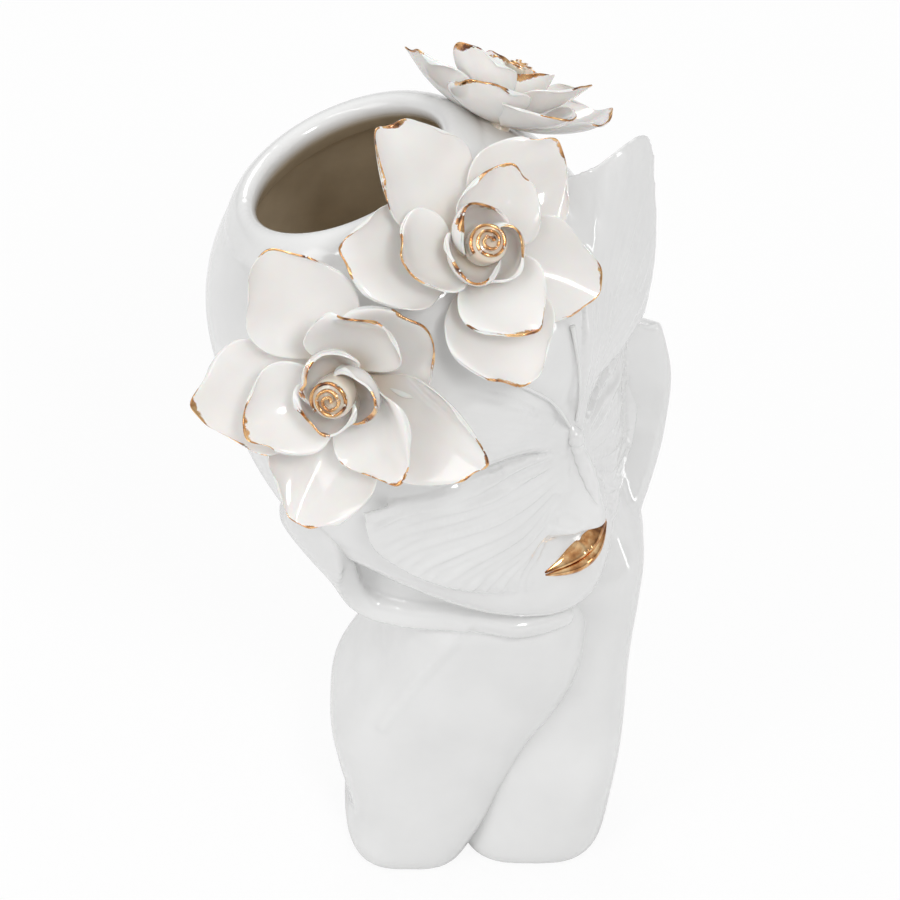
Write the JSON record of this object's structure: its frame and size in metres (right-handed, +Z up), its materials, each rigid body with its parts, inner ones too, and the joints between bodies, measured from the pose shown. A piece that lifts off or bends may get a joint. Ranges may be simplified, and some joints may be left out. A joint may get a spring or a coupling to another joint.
{
  "type": "head planter",
  "caption": "Glazed porcelain planter shaped as a lady's head resting in two hands, open at the crown, with a butterfly over the eyes and roses with gilded edges.",
  "frame": {"origin": "middle of the foot, on the surface it stands on, between the two forearms", "axes": "+Z up; the face looks along -Y; +X to the right of a viewer who faces the face; the forearms stand side by side along a line turned 50 degrees clockwise from +X seen from above"},
  "size_m": [0.1774, 0.1598, 0.3389],
  "materials": {
    "white_glaze": "smooth glossy white glaze over cast porcelain, a little duller towards the foot",
    "petal_glaze": "glossy white glaze on hand-formed petals, with brushed gold lustre on the rims",
    "bud_glaze": "glossy white glaze with gold lustre on the rolled coil at the tip",
    "gold_lustre": "fired gold lustre over glaze, mirror-bright and warm"
  },
  "bodies": {
    "root": {"butterfly_body": "white_glaze", "butterfly_left_feeler": "white_glaze", "butterfly_left_lower_wing": "white_glaze", "butterfly_left_upper_wing": "white_glaze", "butterfly_right_feeler": "white_glaze", "butterfly_right_lower_wing": "white_glaze", "butterfly_right_upper_wing": "white_glaze", "far_forearm": "white_glaze", "far_hand": "white_glaze", "far_rose_bud": "bud_glaze", "far_rose_inner_petal_1": "petal_glaze", "far_rose_inner_petal_2": "petal_glaze", "far_rose_inner_petal_3": "petal_glaze", "far_rose_middle_petal_1": "petal_glaze", "far_rose_middle_petal_2": "petal_glaze", "far_rose_middle_petal_3": "petal_glaze", "far_rose_outer_petal_1": "petal_glaze", "far_rose_outer_petal_2": "petal_glaze", "far_rose_outer_petal_3": "petal_glaze", "far_rose_outer_petal_4": "petal_glaze", "far_rose_outer_petal_5": "petal_glaze", "front_rose_bud": "bud_glaze", "front_rose_inner_petal_1": "petal_glaze", "front_rose_inner_petal_2": "petal_glaze", "front_rose_inner_petal_3": "petal_glaze", "front_rose_middle_petal_1": "petal_glaze", "front_rose_middle_petal_2": "petal_glaze", "front_rose_middle_petal_3": "petal_glaze", "front_rose_outer_petal_1": "petal_glaze", "front_rose_outer_petal_2": "petal_glaze", "front_rose_outer_petal_3": "petal_glaze", "front_rose_outer_petal_4": "petal_glaze", "front_rose_outer_petal_5": "petal_glaze", "head": "white_glaze", "lower_lip": "gold_lustre", "near_forearm": "white_glaze", "near_hand": "white_glaze", "near_rose_bud": "bud_glaze", "near_rose_inner_petal_1": "petal_glaze", "near_rose_inner_petal_2": "petal_glaze", "near_rose_inner_petal_3": "petal_glaze", "near_rose_middle_petal_1": "petal_glaze", "near_rose_middle_petal_2": "petal_glaze", "near_rose_middle_petal_3": "petal_glaze", "near_rose_outer_petal_1": "petal_glaze", "near_rose_outer_petal_2": "petal_glaze", "near_rose_outer_petal_3": "petal_glaze", "near_rose_outer_petal_4": "petal_glaze", "near_rose_outer_petal_5": "petal_glaze", "rolled_rim": "white_glaze", "upper_lip": "gold_lustre"}
  },
  "joints": []
}
